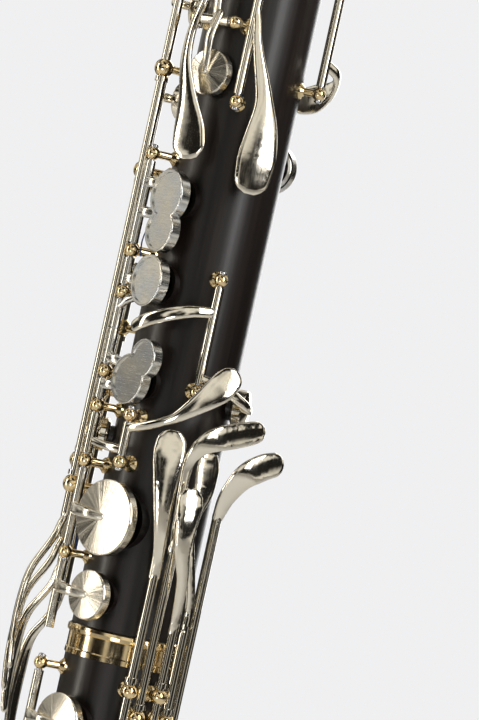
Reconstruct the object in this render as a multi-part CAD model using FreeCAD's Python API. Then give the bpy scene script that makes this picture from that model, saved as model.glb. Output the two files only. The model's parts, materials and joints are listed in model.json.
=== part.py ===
"""Bass clarinet to low E flat: wooden upper and lower joints, metal neck and bell, a floor peg, and the whole
keywork, one STEP file per named piece. Millimetres, +Z up along the body's axis, origin at the peg's tip.

Angles round the body are in degrees from the front (-Y), growing towards the player's left hand (+X).
Heights of the keywork are measured from the line where the two wooden joints meet."""

import FreeCAD
import Part

import math
import os

from FreeCAD import Vector

# ---- driving dimensions ---------------------------------------------------------------------------------------
BODY_R = 18.25          # outside of both wooden joints
BORE_R = 11.7           # air column
MEET = 650.0            # height of the line where the joints meet
UPPER_TOP = 345.0       # top of the upper joint, above that line
LOWER_END = -375.0      # bottom of the lower joint
TENON_R = 14.9
TENON_LENGTH = 20.0

STEEL_R = 1.0           # hinge rod inside each key tube
TUBE_R = 1.6            # outside of a key tube or a long key rod
RUN = 0.05              # running clearance of a tube on its rod, or of a rod in its guide
BALL_R = 2.3            # ball head of a post
GUIDE_R = 2.7           # ball head of a guide that a long rod turns in
BALL_GAP = 2.6          # from a ball's centre to the tube's end beside it
SHANK_R = 1.4           # threaded foot of a post, inside the wood
SHANK_BOTTOM = 15.3     # how near to the axis that foot reaches
FLANGE_R = 2.7

SEAT = 19.4             # radius at which a tone hole's rim is cut flat
PAD_GAP = 0.08          # between a closed pad and its seat
PAD_THICK = 3.0
CUP_WALL = 0.6
CUP_LOW = SEAT + PAD_GAP + 0.9
CUP_SKIRT = 3.2
CUP_RISE = 1.3
PLATE_TOP = CUP_LOW + 3.5

STACK = (-28.6, 26.5)   # hinge lines, as (angle, radius): the finger plates of both hands
TRILLS = {"side_key_4": (-39.5, 28.0), "side_key_3": (-52.0, 27.5), "side_key_2": (-64.5, 27.0),
          "side_key_1": (-77.0, 27.0)}
G_SHARP = (37.7, 24.0)
SLIVER = (56.0, 24.0)
C_SHARP = (9.0, 25.0)
THUMB = (212.0, 26.0)
REGISTER = (112.0, 25.5)
LEVERS = {"left_c_sharp_lever": (54.5, 24.2), "left_f_lever": (65.0, 24.2), "left_b_lever": (80.0, 24.2),
          "left_e_lever": (92.0, 24.2), "left_e_flat_lever": (102.5, 24.2)}
LOW_KEYS = {"f_sharp_key": (-32.0, 26.5), "a_flat_key": (-44.0, 26.5), "f_key": (-56.0, 26.5),
            "e_key": (-68.0, 26.5), "low_e_flat_key": (-80.0, 26.5)}
CROSS_A_LOW = (5.5, 23.5, 201.5)      # hinges that lie across the body, as (angle, radius, height)
CROSS_A_TOP = (5.5, 24.5, 224.0)

UP = Vector(0, 0, 1)


# ---- places round the body ------------------------------------------------------------------------------------
def outward(angle):
    return Vector(math.sin(math.radians(angle)), -math.cos(math.radians(angle)), 0)


def around(angle):
    return Vector(math.cos(math.radians(angle)), math.sin(math.radians(angle)), 0)


def spot(angle, radius, height):
    """A point at that angle and distance from the axis, that far above the meeting line."""
    return outward(angle) * radius + UP * (MEET + height)


def frame_at(origin, x, z):
    """A placement whose x and z axes point those ways."""
    y = z.cross(x)
    matrix = FreeCAD.Matrix(x.x, y.x, z.x, origin.x, x.y, y.y, z.y, origin.y, x.z, y.z, z.z, origin.z, 0, 0, 0, 1)
    return FreeCAD.Placement(matrix)


def on_body(shape, angle, height):
    """A shape made with x round the body, y up it and z out of it, put in its place."""
    moved = shape.copy()
    moved.Placement = frame_at(spot(angle, 0, height), around(angle), outward(angle)).multiply(moved.Placement)
    return moved


# ---- shared shapes --------------------------------------------------------------------------------------------
def turned(points):
    """A solid turned about z from an outline of (radius, height) points."""
    outline = [Vector(r, 0, h) for r, h in points]
    face = Part.Face(Part.makePolygon(outline + outline[:1]))
    return face.revolve(Vector(), UP, 360)


def joined(shapes):
    """One solid made of several that run into each other."""
    whole = shapes[0].multiFuse(shapes[1:]) if len(shapes) > 1 else shapes[0]
    if len(whole.Solids) != 1:
        raise ValueError(f"{len(whole.Solids)} solids where one was meant")
    return whole.Solids[0]


def rod(hinge, low, high, r=TUBE_R):
    """A plain round bar along the body."""
    return Part.makeCylinder(r, high - low, spot(hinge[0], hinge[1], low), UP)


def oval(centre, across, out, half_width, half_thick, fullness):
    """A closed smooth oval: a super-ellipse of that width and thickness."""
    steps, points = 16, []
    for i in range(steps):
        a = 2 * math.pi * i / steps
        x = math.copysign(abs(math.cos(a)) ** (2 / fullness), math.cos(a)) * half_width
        z = math.copysign(abs(math.sin(a)) ** (2 / fullness), math.sin(a)) * half_thick
        points.append(centre + across * x + out * z)
    curve = Part.BSplineCurve()
    curve.interpolate(points, PeriodicFlag=True)
    return Part.Wire([curve.toShape()])


def between(p, q, r, s, u):
    """A smooth value a share u of the way from q to r."""
    return 0.5 * (2 * q + (r - p) * u + (2 * p - 5 * q + 4 * r - s) * u * u + (3 * q - p - 3 * r + s) * u ** 3)


def smoothed(stations, steps=3):
    """The same run of stations with more of them."""
    last, fine = len(stations) - 1, []
    for i in range(last):
        near = [stations[min(max(k, 0), last)] for k in (i - 1, i, i + 1, i + 2)]
        fine += [tuple(between(*four, j / steps) for four in zip(*near)) for j in range(steps)]
    return fine + [stations[-1]]


def blade(stations, facing=None, start=False, end=True, fullness=2.4):
    """A smooth forged arm or touch. Each station is (angle, radius, height, half width, half thickness).
    facing is the angle that its flat looks towards: without it, every station looks straight out of the body.
    start and end say which of its ends are rounded off."""
    stations = smoothed(stations)
    centres = [spot(a, r, h) for a, r, h, _, _ in stations]
    rows = []
    for i, (a, _, _, w, t) in enumerate(stations):
        along = (centres[min(i + 1, len(centres) - 1)] - centres[max(i - 1, 0)]).normalize()
        out = outward(a if facing is None else facing)
        out = (out - along * out.dot(along)).normalize()
        rows.append((centres[i], along, out, w, t))
    for wanted, first in ((start, True), (end, False)):
        if wanted:
            centre, along, out, w, t = rows[0] if first else rows[-1]
            way = along * (-w if first else w)
            caps = [(centre + way * u, along, out, w * math.sqrt(1 - u * u), t * (1 - u * u) ** 0.3)
                    for u in (0.5, 0.8, 0.95)]
            rows = caps[::-1] + rows if first else rows + caps
    wires = [oval(c, out.cross(along), out, w, t, fullness) for c, along, out, w, t in rows]
    return Part.makeLoft(wires, True, False, False, 3)


# ---- posts, guides and steels ---------------------------------------------------------------------------------
def post_shape(radius, ball, hole, way, x=0.0):
    """A ball post, standing on the wood at x, with a hole through its ball."""
    wood = math.sqrt(BODY_R ** 2 - (abs(x) + FLANGE_R) ** 2 / 2)
    shape = turned([(0, SHANK_BOTTOM), (SHANK_R, SHANK_BOTTOM), (SHANK_R, wood - 1.2), (FLANGE_R, wood - 1.2),
                    (FLANGE_R, wood + 0.9), (2.1, wood + 1.4), (1.3, wood + 2.3), (1.3, radius), (0, radius)])
    shape = shape.fuse(Part.makeSphere(ball, Vector(0, 0, radius)))
    shape = shape.cut(Part.makeCylinder(hole, 4 * ball, Vector(0, 0, radius) - way * 2 * ball, way))
    shape.translate(Vector(x, 0, 0))
    return shape


def posts(hinge, heights, ball=BALL_R, hole=STEEL_R):
    """Posts on one hinge line along the body."""
    return [on_body(post_shape(hinge[1], ball, hole, Vector(0, 1, 0)), hinge[0], h) for h in heights]


def guides(hinge, heights, ball=GUIDE_R):
    return posts(hinge, heights, ball, TUBE_R + RUN)


def cross_posts(hinge, half):
    """The two posts of a hinge that lies across the body."""
    angle, radius, height = hinge
    return [on_body(post_shape(radius, BALL_R, STEEL_R, Vector(1, 0, 0), x), angle, height) for x in (-half, half)]


def cross_steel(hinge, half):
    angle, radius, height = hinge
    return on_body(Part.makeCylinder(STEEL_R, 2 * half + 3.6, Vector(-half - 1.8, 0, radius), Vector(1, 0, 0)),
                   angle, height)


def shank_hole(x=0.0):
    """What a post takes out of the wood."""
    wood = math.sqrt(BODY_R ** 2 - (abs(x) + FLANGE_R) ** 2 / 2)
    hole = turned([(0, SHANK_BOTTOM), (SHANK_R, SHANK_BOTTOM), (SHANK_R, wood - 1.2), (FLANGE_R, wood - 1.2),
                   (FLANGE_R, 25), (0, 25)])
    hole.translate(Vector(x, 0, 0))
    return hole


# ---- tone holes, cups and pads --------------------------------------------------------------------------------
def cup(angle, height, r, rise=CUP_RISE, skirt=CUP_SKIRT):
    """A pad cup with a cone for a back, closed on its seat."""
    inside, top = SEAT + PAD_GAP + PAD_THICK, CUP_LOW + skirt
    shape = turned([(r - CUP_WALL, CUP_LOW), (r - 0.15, CUP_LOW), (r, CUP_LOW + 0.25), (r, top - 0.5),
                    (r - 0.15, top - 0.15), (r - 0.5, top), (0, top + rise), (0, inside), (r - CUP_WALL, inside)])
    return on_body(shape, angle, height)


def pad(angle, height, r, x=0.0, y=0.0):
    low, inner = SEAT + PAD_GAP, r - CUP_WALL
    shape = turned([(0, low), (inner - 0.8, low), (inner - 0.2, low + 0.4), (inner, low + 0.9),
                    (inner, low + PAD_THICK), (0, low + PAD_THICK)])
    shape.translate(Vector(x, y, 0))
    return on_body(shape, angle, height)


def plateau(angle, height, lobes):
    """A finger plate of round lobes (x, y, r), each with a raised rim round a shallow dish."""
    inside, rim_wide, dish = SEAT + PAD_GAP + PAD_THICK, 1.1, 0.5
    outer = [Part.makeCylinder(r, PLATE_TOP - CUP_LOW, Vector(x, y, CUP_LOW)) for x, y, r in lobes]
    dug = [Part.makeCylinder(r - rim_wide, 2, Vector(x, y, PLATE_TOP - dish)) for x, y, r in lobes]
    x, y, r = lobes[0]
    pocket = Part.makeCylinder(r - CUP_WALL, 2 + inside - CUP_LOW, Vector(x, y, CUP_LOW - 2))
    body = outer[0].multiFuse(outer[1:]).removeSplitter() if len(outer) > 1 else outer[0]
    top_edges = [e for e in body.Edges if min(p.z for p in e.discretize(5)) > PLATE_TOP - 0.01]
    body = body.makeFillet(0.4, top_edges)
    dug = dug[0].multiFuse(dug[1:]) if len(dug) > 1 else dug[0]
    return on_body(body.cut(dug).cut(pocket).Solids[0], angle, height)


def chimney(angle, height, r):
    """The raised wooden rim that a pad of that cup radius closes, and its bore."""
    rim = on_body(Part.makeCylinder(r - 2.2, SEAT - 13, Vector(0, 0, 13)), angle, height)
    bore = on_body(Part.makeCylinder(r - 3.6, SEAT, Vector(0, 0, 2)), angle, height)
    return rim, bore


# ---- the shape of a key ---------------------------------------------------------------------------------------
def cup_arm(hinge, at, target, over=None):
    """The arm from a hinge at height `at` to the middle of a cup at target (angle, height)."""
    a0, r0 = hinge
    a1, h1 = target
    crown = CUP_LOW + CUP_SKIRT + CUP_RISE
    middle = over or max(r0 + 0.6, crown + 1.3)
    turn = a1 - a0
    return blade([(a0, r0, at, 2.3, 1.35), (a0 + 0.3 * turn, middle, at + 0.25 * (h1 - at), 2.1, 1.2),
                  (a0 + 0.7 * turn, middle - 0.2, at + 0.7 * (h1 - at), 1.7, 1.0),
                  (a1, crown + 0.1, h1, 1.3, 0.8)], end=True)


def plate_arm(hinge, at, target):
    """A short strong arm from a hinge into the side of a finger plate at (angle, height)."""
    a0, r0 = hinge
    a1, h1 = target
    return blade([(a0, r0, at, 1.9, 1.3), ((a0 + a1) / 2, (r0 + PLATE_TOP - 1.6) / 2 + 0.5, (at + h1) / 2, 1.8, 1.2),
                  (a1, PLATE_TOP - 1.6, h1, 1.6, 1.0)], end=False)


def swung(shapes, hinge, degrees):
    """Shapes turned about a hinge along the body."""
    moved = []
    for shape in shapes:
        copy = shape.copy()
        copy.rotate(spot(hinge[0], hinge[1], 0), UP, degrees)
        moved.append(copy)
    return moved


def key_on_tube(hinge, spans, pieces):
    """A key: its pieces and its tubing in one, bored for the steel."""
    tubes = [rod(hinge, low, high) for low, high in spans]
    low, high = min(s[0] for s in spans), max(s[1] for s in spans)
    whole = tubes[0].multiFuse(tubes[1:] + pieces)
    whole = whole.cut(rod(hinge, low - 1, high + 1, STEEL_R + RUN))
    for gap_low, gap_high in zip([s[1] for s in spans], [s[0] for s in spans[1:]]):
        whole = whole.cut(rod(hinge, gap_low, gap_high, TUBE_R + 1.2))
    return joined(whole.Solids) if len(whole.Solids) > 1 else whole.Solids[0]


def collar(hinge, height, r=2.25, thick=1.6):
    """A ring soldered on a long rod beside a guide."""
    return rod(hinge, height, height + thick, r)


# ---- what each key is -----------------------------------------------------------------------------------------
OPEN_STACK = 12.0       # how far the finger plates stand open, in degrees
OPEN_BIG = 9.5          # the same for the big low cups
PLATES = {              # name: angle, height, lobes (x, y, r), tube spans, arm heights
    "lh1_plate_key": (1.0, 142.5, [(0, 0, 8.5), (0, -11.6, 7.3)], [(125.5, 152.9)], [146.0, 136.0]),
    "lh2_plate_key": (-1.0, 114.0, [(0, 0, 8.6)], [(97.0, 106.4), (111.6, 120.3)], [113.7, 104.8]),
    "lh3_plate_key": (2.5, 81.5, [(0, 0, 8.3), (5.6, 7.4, 6.4)], [(73.6, 79.9), (85.1, 96.6)], [78.5, 87.6]),
    "rh1_plate_key": (2.0, -66.0, [(0, 0, 9.3)], [(-76.4, -55.6)], [-62.0, -70.0]),
    "rh2_plate_key": (2.0, -98.0, [(0, 0, 9.3), (0, 12.0, 7.0)], [(-108.4, -81.6)], [-90.0, -101.0]),
    "rh3_plate_key": (2.0, -128.0, [(0, 0, 9.3)], [(-138.4, -113.6)], [-124.0, -132.0]),
}
ARM_HEIGHT_IN_PLATE = {"lh2_plate_key": (113.7, 108.6), "lh3_plate_key": (78.5, 86.0)}
STACK_CUPS = {          # name: angle, height, cup radius, tube spans, arm height at the hinge
    "lh_resonance_key": (8.0, 36.0, 12.5, [(24.6, 49.9)], 36.7),
    "bridge_key": (8.0, 10.4, 8.15, [(-3.2, 19.4)], 11.0),
    "rh_resonance_key": (5.0, -32.5, 10.2, [(-50.4, -17.6)], -32.0),
}
STACK_POSTS_UPPER = [155.5, 122.9, 109.0, 82.5, 71.0, 52.5, 22.0]
STACK_POSTS_LOWER = [-15.0, -53.0, -79.0, -111.0, -141.0]
SIDE_CUPS = {"side_key_4": (-66.0, 207.0), "side_key_3": (-79.0, 176.0), "side_key_2": (-92.0, 146.0),
             "side_key_1": (-105.0, 116.0)}
SIDE_GUIDES = {"side_key_4": [44.0, 184.0], "side_key_3": [52.0, 150.0], "side_key_2": [76.0, 124.0],
               "side_key_1": [40.0, 98.0]}
SIDE_LOW = {"side_key_4": 20.0, "side_key_3": 12.0, "side_key_2": 4.0, "side_key_1": -4.0}
LEVER_ENDS = {"left_c_sharp_lever": (22.0, -214.0), "left_f_lever": (31.0, -248.0), "left_b_lever": (6.0, -282.0),
              "left_e_lever": (7.0, -316.0), "left_e_flat_lever": (45.0, -350.0)}
LEVER_GUIDES = {"left_c_sharp_lever": [-17.0, -120.0, -206.0], "left_f_lever": [-25.0, -112.0, -240.0],
                "left_b_lever": [-17.0, -120.0, -274.0], "left_e_lever": [-25.0, -112.0, -308.0],
                "left_e_flat_lever": [-33.0, -104.0, -342.0]}
LOW_CUPS = {"f_sharp_key": (4.0, -214.0, 12.0), "a_flat_key": (4.0, -248.0, 12.5), "f_key": (4.0, -282.0, 13.5),
            "e_key": (4.0, -316.0, 14.0), "low_e_flat_key": (4.0, -350.0, 14.5)}
LOW_TOUCHES = {"f_sharp_key": (-22.0, -160.0), "a_flat_key": (-54.0, -140.0), "f_key": (-42.0, -165.0),
               "e_key": (-61.0, -190.0), "low_e_flat_key": (-73.0, -165.0)}


def plate_key(name):
    angle, height, lobes, spans, arms = PLATES[name]
    ends = ARM_HEIGHT_IN_PLATE.get(name, arms)
    edge = angle - math.degrees(math.atan(0.82 * lobes[0][2] / PLATE_TOP))
    pieces = [plateau(angle, height, lobes)] + [plate_arm(STACK, at, (edge, end)) for at, end in zip(arms, ends)]
    key = key_on_tube(STACK, spans, pieces)
    x, y, r = lobes[0]
    pocket = Part.makeCylinder(r - CUP_WALL, 12, Vector(x, y, SEAT + PAD_GAP + PAD_THICK - 12))
    key = max(key.cut(on_body(pocket, angle, height)).Solids, key=lambda solid: solid.Volume)
    return swung([key], STACK, -OPEN_STACK), swung([pad(angle, height, lobes[0][2])], STACK, -OPEN_STACK)


def stack_cup_key(name):
    angle, height, r, spans, at = STACK_CUPS[name]
    key = key_on_tube(STACK, spans, [cup(angle, height, r), cup_arm(STACK, at, (angle, height))])
    return swung([key], STACK, -OPEN_BIG), swung([pad(angle, height, r)], STACK, -OPEN_BIG)


def c_sharp_pad_key():
    angle, height, r = -50.0, 62.0, 5.6
    spans = [(55.1, 68.4)]
    flat_cup = cup(angle, height, r, rise=0.5, skirt=2.4)
    arm = blade([(STACK[0], STACK[1], 62, 2.2, 1.3), (-38.0, 24.3, 62, 2.0, 0.8), (-50.0, 23.2, 62, 1.6, 0.5)])
    return [key_on_tube(STACK, spans, [flat_cup, arm]), pad(angle, height, r)]


def c_sharp_touch():
    touch = blade([(9, 25, 66, 1.6, 1.3), (25, 27.2, 67.8, 1.5, 1.1), (42, 29.4, 71.8, 1.7, 1.2),
                   (55, 31, 78, 3.2, 1.2), (65, 32, 84, 4.7, 1.1), (70, 32.2, 87.6, 4.4, 1.0)], facing=50)
    tail = blade([(9, 25, 58.5, 1.6, 1.3), (-8, 25.8, 58.8, 1.4, 1.0), (-20.5, 26.6, 59.3, 1.2, 0.8)])
    return [key_on_tube(C_SHARP, [(57.2, 67.6)], [touch, tail])]


def sliver_key():
    touch = blade([(56, 24, 108, 1.7, 1.3), (40, 26.2, 107, 2.0, 1.1), (24.8, 27.2, 104.6, 2.2, 1.0),
                   (8, 27.2, 101.2, 2.3, 1.0), (-1, 26.6, 99, 2.2, 0.9)])
    arm = blade([(56, 24, 86.5, 1.8, 1.3), (75, 26.2, 84.5, 1.8, 1.1), (97, 26.4, 81.3, 1.6, 1.0),
                 (117, 25.0, 79.5, 1.2, 0.8)])
    key = key_on_tube(SLIVER, [(84.6, 116.4)], [cup(117, 79.5, 6.5), arm, touch])
    return [key, pad(117, 79.5, 6.5)]


def throat_g_sharp_key():
    touch = blade([(37.7, 24.2, 208, 1.2, 1.1), (44, 26, 196, 1.6, 1.2), (52, 28, 184.5, 2.4, 1.3),
                   (56, 29.5, 177, 3.2, 1.3), (57.9, 30.2, 169, 5.1, 1.2), (58.5, 30.2, 160, 6.5, 1.1),
                   (58.6, 29.8, 153.5, 6.0, 1.0)])
    key = key_on_tube(G_SHARP, [(179.1, 268.4)], [touch, cup(12, 262, 7.0), cup_arm(G_SHARP, 262, (12, 262))])
    return [key, pad(12, 262, 7.0)]


def cross_key(hinge, pieces, half):
    """A key on a hinge that lies across the body; its tube is 2 * half long."""
    angle, radius, height = hinge
    x = Vector(1, 0, 0)
    tube = on_body(Part.makeCylinder(TUBE_R, 2 * half, Vector(-half, 0, radius), x), angle, height)
    hole = on_body(Part.makeCylinder(STEEL_R + RUN, 60, Vector(-30, 0, radius), x), angle, height)
    return joined(tube.multiFuse(pieces).cut(hole).Solids)


def throat_a_lower_key():
    arm = blade([(8, 24.0, 203.5, 1.7, 1.2), (8, 26.2, 196, 1.6, 1.1), (8, 25.7, 189, 1.4, 0.9),
                 (8, 25.3, 184.5, 1.2, 0.8)], start=True)
    tail = blade([(5.5, 23.5, 201.5, 1.5, 1.2), (4.0, 23.6, 207, 1.5, 1.0), (3.0, 23.9, 211, 1.5, 0.8)])
    return [cross_key(CROSS_A_LOW, [cup(8, 184.5, 7.7), arm, tail], 5.4), pad(8, 184.5, 7.7)]


def throat_a_key():
    touch = blade([(5.5, 24.8, 224, 1.4, 1.2), (4.0, 28.0, 214, 1.3, 1.0), (1.5, 29.6, 205, 1.25, 1.0),
                   (-3.0, 29.6, 196, 1.7, 1.0), (-2.6, 29.4, 186, 2.3, 1.1), (3.0, 28.6, 176, 3.4, 1.2),
                   (8.5, 27.6, 166, 5.6, 1.2), (10.5, 27.2, 160.6, 6.0, 1.1)])
    arm = blade([(5.5, 24.5, 223, 1.7, 1.2), (5.5, 26.4, 230, 1.6, 1.1), (5.5, 25.3, 241, 1.3, 0.8)])
    return [cross_key(CROSS_A_TOP, [cup(5.5, 241, 6.5), arm, touch], 5.4), pad(5.5, 241, 6.5)]


def thumb_key():
    angle, height, r = 186.0, 161.0, 8.5
    arm = plate_arm(THUMB, 161, (angle + math.degrees(math.atan(0.82 * r / PLATE_TOP)), 161))
    key = key_on_tube(THUMB, [(149.0, 173.0)], [plateau(angle, height, [(0, 0, r)]), arm])
    return swung([key, pad(angle, height, r)], THUMB, 10.0)


def register_key():
    touch = blade([(112, 25.6, 196, 1.8, 1.3), (128, 28.5, 194, 2.0, 1.2), (146, 29.0, 190, 3.2, 1.2),
                   (163, 28.2, 187, 5.0, 1.2), (176, 27.6, 185.5, 4.6, 1.1)])
    arm = blade([(112, 25.5, 290, 1.8, 1.3), (99, 26.4, 292, 1.6, 1.1), (86, 24.7, 293, 1.3, 0.8)])
    upright = blade([(112, 25.5, 323, 1.6, 1.3), (100, 26.5, 328, 1.5, 1.1), (92, 26.5, 334, 1.4, 1.0)])
    spans = [(188.6, 326.4)]
    key = key_on_tube(REGISTER, spans, [touch, arm, upright, cup(86, 293, 4.5, rise=0.9)])
    return [key, pad(86, 293, 4.5)]


def side_key(name):
    """A right-hand side key: a long rod in two guides, its cup near the top and its touch near the joint line."""
    hinge, (angle, height), low = TRILLS[name], SIDE_CUPS[name], SIDE_LOW[name]
    a, r = hinge
    reach = {"side_key_4": 0.0, "side_key_3": 1.0, "side_key_2": 2.0, "side_key_1": 3.0}[name]
    out = r + 7.2 + 0.6 * reach
    touch = blade([(a, r, low + 14, 1.95, 1.2), (a - 1, r + 2.4, low + 5, 1.5, 1.2), (a - 1.5, out, low - 6, 2.4, 1.2),
                   (a - 1.5, out + 1.4, low - 18, 3.1, 1.2), (a - 1, out + 1.2, low - 29, 3.1, 1.1),
                   (a - 0.5, out + 0.4, low - 37, 2.6, 1.0)])
    arm = cup_arm(hinge, height, (angle, height), over=29.0)
    length = [(low + 13, height + 4)]
    pieces = [rod(hinge, *length[0]), cup(angle, height, 6.6), arm, touch]
    lowest, highest = SIDE_GUIDES[name]
    pieces += [collar(hinge, highest - GUIDE_R - 1.8), collar(hinge, lowest + GUIDE_R + 0.2)]
    return [joined(pieces), pad(angle, height, 6.6)]


def lever_touches():
    """The five left little-finger touches, each as the stations of its blade."""
    return {
        "left_c_sharp_lever": ([(54.5, 24.3, 20.5, 1.9, 1.25), (53.2, 26.0, 28, 1.9, 1.2), (50.7, 28.6, 35, 2.4, 1.3),
                                (48.0, 30.2, 44, 3.2, 1.3), (46.1, 30.8, 52, 4.1, 1.3), (44.9, 30.8, 60, 5.2, 1.2),
                                (44.6, 30.4, 63.6, 5.0, 1.1)], None),
        "left_f_lever": ([(65.0, 24.3, 29, 1.9, 1.25), (62.0, 24.9, 40, 1.6, 1.1), (60.0, 26.0, 50, 1.6, 1.1),
                          (59.5, 27.4, 59, 2.0, 1.1), (64.5, 29.4, 65, 3.2, 1.1), (73.0, 30.2, 68.4, 4.0, 1.1),
                          (85.0, 30.4, 70.6, 4.2, 1.2), (95.5, 31.6, 72.4, 4.0, 1.1), (99.5, 32.4, 73.2, 3.7, 1.0)],
                         72),
        "left_b_lever": ([(80.0, 24.3, 4, 1.9, 1.25), (76.9, 25.8, 12, 1.8, 1.2), (71.3, 29.2, 22, 2.1, 1.2),
                          (65.4, 31.6, 30, 2.7, 1.2), (63.4, 32.8, 38, 3.5, 1.2), (62.9, 32.8, 45, 4.3, 1.1),
                          (62.8, 32.5, 47.4, 4.2, 1.0)], None),
        "left_e_lever": ([(92.0, 24.3, 5, 1.9, 1.25), (90.5, 24.6, 13, 1.8, 1.3), (81.4, 26.2, 23, 1.8, 1.1),
                          (72.0, 27.7, 33, 2.2, 1.0), (68.8, 28.3, 42, 3.0, 1.0), (73.8, 28.0, 51, 3.8, 1.0),
                          (74.6, 27.4, 57.5, 4.3, 0.9), (74.6, 27.2, 59.7, 4.1, 0.8)], None),
        "left_e_flat_lever": ([(102.5, 24.3, 43, 1.9, 1.25), (99.5, 27.0, 50.5, 3.2, 1.2), (100.2, 31.6, 58.2, 4.3, 1.2),
                               (107.5, 34.9, 62.3, 4.5, 1.2), (112.5, 37.3, 64.0, 4.2, 1.0)], 74),
    }


def lever(name):
    """A left little-finger lever: its touch, its long rod in guides, and the foot that works a low key."""
    stations, facing = lever_touches()[name]
    hinge, (high, low) = LEVERS[name], LEVER_ENDS[name]
    pieces = [rod(hinge, low - 4, high), blade(stations, facing)]
    pieces += [collar(hinge, LEVER_GUIDES[name][0] + GUIDE_R + 0.2), collar(hinge, LEVER_GUIDES[name][-1] - GUIDE_R - 1.8)]
    a, rr = hinge
    pieces.append(blade([(a, rr, low, 2.0, 1.3), (a - 6, rr + 2.2, low, 1.9, 1.0), (a - 12, rr + 2.6, low, 1.7, 0.9)]))
    return [joined(pieces)]


def low_key(name):
    """A low key: its cup on the front, its long tube on the right, and its touch for the little finger."""
    hinge, (angle, height, r), (ta, th) = LOW_KEYS[name], LOW_CUPS[name], LOW_TOUCHES[name]
    a, rr = hinge
    touch = blade([(a, rr, th - 14, 1.8, 1.3), ((a + ta) / 2, 29.5, th - 11, 2.6, 1.2), (ta, 31.6, th - 6, 3.6, 1.2),
                   (ta, 32.0, th + 2, 4.0, 1.2), (ta, 31.6, th + 7, 3.8, 1.1)])
    closed = name == "a_flat_key"
    over = 27.6 if closed else None
    arm = cup_arm(hinge, height, (angle, height), over)
    key = key_on_tube(hinge, [(height - 7, th - 11)], [cup(angle, height, r), arm, touch])
    shapes = [key, pad(angle, height, r)]
    return shapes if closed else swung(shapes, hinge, -OPEN_BIG)


# ---- the two wooden joints ------------------------------------------------------------------------------------
def all_cups():
    """Every tone hole as (angle, height, cup radius)."""
    holes = [(a, h, lobes[0][2]) for a, h, lobes, _, _ in PLATES.values()]
    holes += [(a, h, r) for a, h, r, _, _ in STACK_CUPS.values()]
    holes += [(a, h, 6.6) for a, h in SIDE_CUPS.values()]
    holes += list(LOW_CUPS.values())
    holes += [(-50.0, 62.0, 5.6), (117.0, 79.5, 6.5), (12.0, 262.0, 7.0), (8.0, 184.5, 7.7), (5.5, 241.0, 6.5),
              (186.0, 161.0, 8.5), (86.0, 293.0, 4.5)]
    return holes


def all_seats():
    """Every post as (angle, height, offset across)."""
    seats = [(STACK[0], h, 0.0) for h in STACK_POSTS_UPPER + STACK_POSTS_LOWER]
    seats += [(TRILLS[n][0], h, 0.0) for n in TRILLS for h in SIDE_GUIDES[n]]
    seats += [(LEVERS[n][0], h, 0.0) for n in LEVERS for h in LEVER_GUIDES[n]]
    seats += [(LOW_KEYS[n][0], h, 0.0) for n in LOW_KEYS for h in low_post_heights(n)]
    for hinge, heights in PLAIN_POSTS:
        seats += [(hinge[0], h, 0.0) for h in heights]
    for angle, _, height in (CROSS_A_LOW, CROSS_A_TOP):
        seats += [(angle, height, x) for x in (-CROSS_HALF, CROSS_HALF)]
    return seats


CROSS_HALF = 8.1
PLAIN_POSTS = [(G_SHARP, [176.5, 271.0]), (SLIVER, [82.0, 119.0]), (C_SHARP, [54.6, 70.2]),
               (THUMB, [146.4, 175.6]), (REGISTER, [186.0, 329.0])]


def low_post_heights(name):
    return [LOW_TOUCHES[name][1] - 11 + BALL_GAP, LOW_CUPS[name][1] - 7 - BALL_GAP]


def joint_body(low, high, tenons):
    """A turned wooden joint. tenons are the outline points below its shoulder, (radius, height)."""
    body = turned([(BORE_R, MEET + tenons[0][1])] + [(r, MEET + h) for r, h in tenons] +
                  [(BODY_R, MEET + low), (BODY_R, MEET + high)] +
                  [(BORE_R, MEET + high)])
    cups = [c for c in all_cups() if low + 5 < c[1] < high - 5]
    seats = [s for s in all_seats() if low < s[1] < high]
    rims = [chimney(*c) for c in cups]
    body = body.multiFuse([rim for rim, _ in rims])
    bore = Part.makeCylinder(BORE_R, high - low + 2 * TENON_LENGTH, Vector(0, 0, MEET + low - TENON_LENGTH))
    body = body.cut(bore)
    body = body.cut(Part.makeCompound([b for _, b in rims]))
    body = body.cut(Part.makeCompound([on_body(shank_hole(x), a, h) for a, h, x in seats]))
    return body.Solids[0]


def upper_joint():
    tenon = [(TENON_R, -TENON_LENGTH), (TENON_R, -15.0), (TENON_R - 1.0, -15.0), (TENON_R - 1.0, -5.0),
             (TENON_R, -5.0), (TENON_R, 0.0)]
    body = joint_body(0.0, UPPER_TOP, tenon)
    socket = Part.makeCylinder(14.0, 18.0, Vector(0, 0, MEET + UPPER_TOP - 18.0))
    return body.cut(socket)


def lower_joint():
    low = LOWER_END
    tenon = [(TENON_R, low - TENON_LENGTH), (TENON_R, low - 15.0), (TENON_R - 1.0, low - 15.0),
             (TENON_R - 1.0, low - 5.0), (TENON_R, low - 5.0), (TENON_R, low)]
    body = joint_body(low, -0.2, tenon)
    socket = Part.makeCylinder(TENON_R + 0.1, TENON_LENGTH + 1.0, Vector(0, 0, MEET - TENON_LENGTH - 0.8))
    band = turned([(BODY_R - 0.8, MEET - 10.0), (BODY_R + 3, MEET - 10.0), (BODY_R + 3, MEET + 1),
                   (BODY_R - 0.8, MEET + 1)])
    return body.cut(socket).cut(band).Solids[0]


def tenon_corks():
    corks = []
    for base in (MEET, MEET + LOWER_END):
        corks.append(turned([(TENON_R - 1.0, base - 15.0), (TENON_R + 0.05, base - 15.0), (TENON_R + 0.05, base - 5.0),
                             (TENON_R - 1.0, base - 5.0)]))
    return corks


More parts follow.
